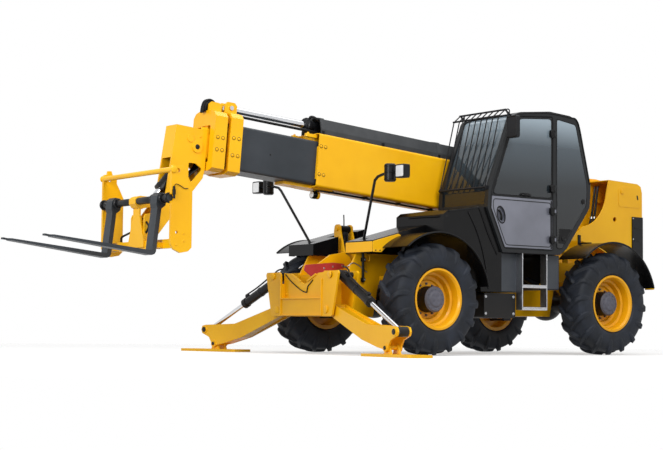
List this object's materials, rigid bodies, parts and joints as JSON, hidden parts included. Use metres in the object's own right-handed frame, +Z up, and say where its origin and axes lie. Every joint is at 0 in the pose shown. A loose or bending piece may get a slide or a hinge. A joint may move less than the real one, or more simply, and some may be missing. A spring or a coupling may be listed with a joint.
{
  "type": "telescopic handler",
  "caption": "Four-stage telescopic handler with side cab, fork carriage, four steered wheels and two swing-out stabilisers.",
  "frame": {"origin": "ground level under the middle of the whole machine, stabiliser pads and fork tips included", "axes": "+X forwards towards the forks, +Y to the machine's left (the cab side), +Z up"},
  "size_m": [8.2597, 4.3108, 2.8207],
  "materials": {
    "yellow_paint": "gloss",
    "black_paint": "satin",
    "charcoal_paint": "satin",
    "grey_paint": "satin",
    "cast_iron": "matte",
    "black_plastic": "matte",
    "chrome_rod": "polished",
    "tinted_glass": "clear",
    "seat_fabric": "matte",
    "step_steel": "brushed",
    "tyre": "matte"
  },
  "bodies": {
    "main": {"frame_sides": "yellow_paint", "frame_cross": "yellow_paint", "pivot_tower": "yellow_paint", "tower_panels": "yellow_paint", "counterweight": "cast_iron", "stabiliser_frame": "yellow_paint", "axles": "black_paint", "levelling_cylinder": "black_paint", "cab_frame": "black_paint", "cab_glass": "tinted_glass", "cab_guard": "black_paint", "cab_interior": "black_plastic", "seat": "seat_fabric", "fenders": "black_plastic", "nose_fairings": "black_plastic", "front_cowl": "black_plastic", "engine_hood": "yellow_paint", "engine_block": "cast_iron", "side_boxes": "black_paint", "side_steps": "step_steel", "tail_lamps": "black_paint", "mirrors": "black_paint"},
    "boom_outer": {"boom_outer": "yellow_paint", "boom_cover": "black_plastic", "extension_barrel": "black_paint"},
    "stage2": {"boom_stage2": "charcoal_paint", "boom_collar2": "yellow_paint", "extension_rod": "chrome_rod"},
    "stage3": {"boom_stage3": "yellow_paint"},
    "boom_head": {"boom_head": "yellow_paint"},
    "carriage": {"carriage": "yellow_paint", "forks": "black_paint"},
    "tilt_barrel": {"tilt_barrel": "black_paint"},
    "tilt_rod": {"tilt_rod": "chrome_rod"},
    "lift_barrel": {"lift_barrel": "black_paint"},
    "lift_rod": {"lift_rod": "chrome_rod"},
    "stabiliser_arm_left": {"stabiliser_arm_left": "yellow_paint"},
    "stabiliser_foot_left": {"stabiliser_foot_left": "yellow_paint"},
    "stabiliser_barrel_left": {"stabiliser_barrel_left": "black_paint"},
    "stabiliser_rod_left": {"stabiliser_rod_left": "chrome_rod"},
    "stabiliser_arm_right": {"stabiliser_arm_right": "yellow_paint"},
    "stabiliser_foot_right": {"stabiliser_foot_right": "yellow_paint"},
    "stabiliser_barrel_right": {"stabiliser_barrel_right": "black_paint"},
    "stabiliser_rod_right": {"stabiliser_rod_right": "chrome_rod"},
    "knuckle_front_left": {"knuckle_front_left": "black_paint"},
    "wheel_front_left": {"rim_front_left": "yellow_paint", "tyre_front_left": "tyre"},
    "knuckle_front_right": {"knuckle_front_right": "black_paint"},
    "wheel_front_right": {"rim_front_right": "yellow_paint", "tyre_front_right": "tyre"},
    "knuckle_rear_left": {"knuckle_rear_left": "black_paint"},
    "wheel_rear_left": {"rim_rear_left": "yellow_paint", "tyre_rear_left": "tyre"},
    "knuckle_rear_right": {"knuckle_rear_right": "black_paint"},
    "wheel_rear_right": {"rim_rear_right": "yellow_paint", "tyre_rear_right": "tyre"},
    "door_lower": {"door_lower": "grey_paint"},
    "door_upper": {"door_upper": "grey_paint", "door_glass": "tinted_glass"}
  },
  "joints": [
    {"name": "boom_lift", "type": "hinge", "parent": "main", "child": "boom_outer", "pos_m": [-3.6635, 0, 1.99], "axis": [0, -1, 0], "range_deg": [-7, 65]},
    {"name": "stage2_slide", "type": "slide", "parent": "boom_outer", "child": "stage2", "axis": [0.9969, 0, 0.0785], "range_m": [0, 3.35]},
    {"name": "stage3_slide", "type": "slide", "parent": "stage2", "child": "stage3", "axis": [0.9969, 0, 0.0785], "range_m": [0, 3.35]},
    {"name": "stage4_slide", "type": "slide", "parent": "stage3", "child": "boom_head", "axis": [0.9969, 0, 0.0785], "range_m": [0, 3.35]},
    {"name": "carriage_tilt", "type": "hinge", "parent": "boom_head", "child": "carriage", "pos_m": [2.7565, 0, 1.23], "axis": [0, 1, 0], "range_deg": [-12, 70]},
    {"name": "tilt_barrel_swing", "type": "hinge", "parent": "boom_head", "child": "tilt_barrel", "pos_m": [2.2065, 0, 2.16], "axis": [0, -1, 0], "range_deg": [-1.5, 8.75]},
    {"name": "tilt_rod_slide", "type": "slide", "parent": "tilt_barrel", "child": "tilt_rod", "axis": [0.6325, 0, -0.7745], "range_m": [-0.0627, 0.3655]},
    {"name": "lift_barrel_swing", "type": "hinge", "parent": "main", "child": "lift_barrel", "pos_m": [-3.3835, 0, 1.06], "axis": [0, -1, 0], "range_deg": [-6.01, 55.84]},
    {"name": "lift_rod_slide", "type": "slide", "parent": "lift_barrel", "child": "lift_rod", "axis": [0.9719, 0, 0.2355], "range_m": [-0.105, 0.9746]},
    {"name": "stabiliser_arm_left", "type": "hinge", "parent": "main", "child": "stabiliser_arm_left", "pos_m": [0.6165, 0.475, 0.486], "axis": [0.9903, -0.1392, 0], "range_deg": [-4, 75]},
    {"name": "stabiliser_foot_left", "type": "hinge", "parent": "stabiliser_arm_left", "child": "stabiliser_foot_left", "pos_m": [0.77446, 1.59895, 0.093], "axis": [0.9903, -0.1392, 0], "range_deg": [-12, 12]},
    {"name": "stabiliser_barrel_swing_left", "type": "hinge", "parent": "main", "child": "stabiliser_barrel_left", "pos_m": [0.62694, 0.54927, 0.862], "axis": [0.9903, -0.1392, 0], "range_deg": [-4.67, 87.52]},
    {"name": "stabiliser_rod_slide_left", "type": "slide", "parent": "stabiliser_barrel_left", "child": "stabiliser_rod_left", "axis": [0.1249, 0.8885, -0.4417], "range_m": [-0.4224, 0.0225]},
    {"name": "stabiliser_arm_right", "type": "hinge", "parent": "main", "child": "stabiliser_arm_right", "pos_m": [0.6165, -0.475, 0.486], "axis": [-0.9903, -0.1392, 0], "range_deg": [-4, 75]},
    {"name": "stabiliser_foot_right", "type": "hinge", "parent": "stabiliser_arm_right", "child": "stabiliser_foot_right", "pos_m": [0.77446, -1.59895, 0.093], "axis": [-0.9903, -0.1392, 0], "range_deg": [-12, 12]},
    {"name": "stabiliser_barrel_swing_right", "type": "hinge", "parent": "main", "child": "stabiliser_barrel_right", "pos_m": [0.62694, -0.54927, 0.862], "axis": [-0.9903, -0.1392, 0], "range_deg": [-4.67, 87.52]},
    {"name": "stabiliser_rod_slide_right", "type": "slide", "parent": "stabiliser_barrel_right", "child": "stabiliser_rod_right", "axis": [0.1249, -0.8885, -0.4417], "range_m": [-0.4224, 0.0225]},
    {"name": "steer_front_left", "type": "hinge", "parent": "main", "child": "knuckle_front_left", "pos_m": [-0.2235, 0.86, 0.61], "axis": [0, 0, 1], "range_deg": [-32, 32]},
    {"name": "wheel_front_left", "type": "hinge", "parent": "knuckle_front_left", "child": "wheel_front_left", "pos_m": [-0.2235, 1, 0.61], "axis": [0, 1, 0], "continuous": true},
    {"name": "steer_front_right", "type": "hinge", "parent": "main", "child": "knuckle_front_right", "pos_m": [-0.2235, -0.86, 0.61], "axis": [0, 0, 1], "range_deg": [-32, 32]},
    {"name": "wheel_front_right", "type": "hinge", "parent": "knuckle_front_right", "child": "wheel_front_right", "pos_m": [-0.2235, -1, 0.61], "axis": [0, 1, 0], "continuous": true},
    {"name": "steer_rear_left", "type": "hinge", "parent": "main", "child": "knuckle_rear_left", "pos_m": [-2.9735, 0.86, 0.61], "axis": [0, 0, 1], "range_deg": [-32, 32]},
    {"name": "wheel_rear_left", "type": "hinge", "parent": "knuckle_rear_left", "child": "wheel_rear_left", "pos_m": [-2.9735, 1, 0.61], "axis": [0, 1, 0], "continuous": true},
    {"name": "steer_rear_right", "type": "hinge", "parent": "main", "child": "knuckle_rear_right", "pos_m": [-2.9735, -0.86, 0.61], "axis": [0, 0, 1], "range_deg": [-32, 32]},
    {"name": "wheel_rear_right", "type": "hinge", "parent": "knuckle_rear_right", "child": "wheel_rear_right", "pos_m": [-2.9735, -1, 0.61], "axis": [0, 1, 0], "continuous": true},
    {"name": "door_lower_swing", "type": "hinge", "parent": "main", "child": "door_lower", "pos_m": [-2.0525, 1.122, 1.5], "axis": [0, 0, 1], "range_deg": [0, 90]},
    {"name": "door_upper_swing", "type": "hinge", "parent": "main", "child": "door_upper", "pos_m": [-2.0525, 1.122, 2.24], "axis": [0, 0, 1], "range_deg": [0, 170]}
  ],
  "couplings": [
    {"joint": "stage3_slide", "follows": "stage2_slide", "ratio": 1},
    {"joint": "stage4_slide", "follows": "stage2_slide", "ratio": 1},
    {"joint": "tilt_barrel_swing", "follows": "carriage_tilt", "ratio": 0.12261},
    {"joint": "tilt_rod_slide", "follows": "carriage_tilt", "m_per_rad": 0.29328},
    {"joint": "lift_barrel_swing", "follows": "boom_lift", "ratio": 0.84216},
    {"joint": "lift_rod_slide", "follows": "boom_lift", "m_per_rad": 0.84227},
    {"joint": "stabiliser_barrel_swing_left", "follows": "stabiliser_arm_left", "ratio": 1.1441},
    {"joint": "stabiliser_rod_slide_left", "follows": "stabiliser_arm_left", "m_per_rad": -0.31635},
    {"joint": "stabiliser_barrel_swing_right", "follows": "stabiliser_arm_right", "ratio": 1.1441},
    {"joint": "stabiliser_rod_slide_right", "follows": "stabiliser_arm_right", "m_per_rad": -0.31635},
    {"joint": "steer_front_right", "follows": "steer_front_left", "ratio": 1},
    {"joint": "steer_rear_right", "follows": "steer_rear_left", "ratio": 1}
  ]
}
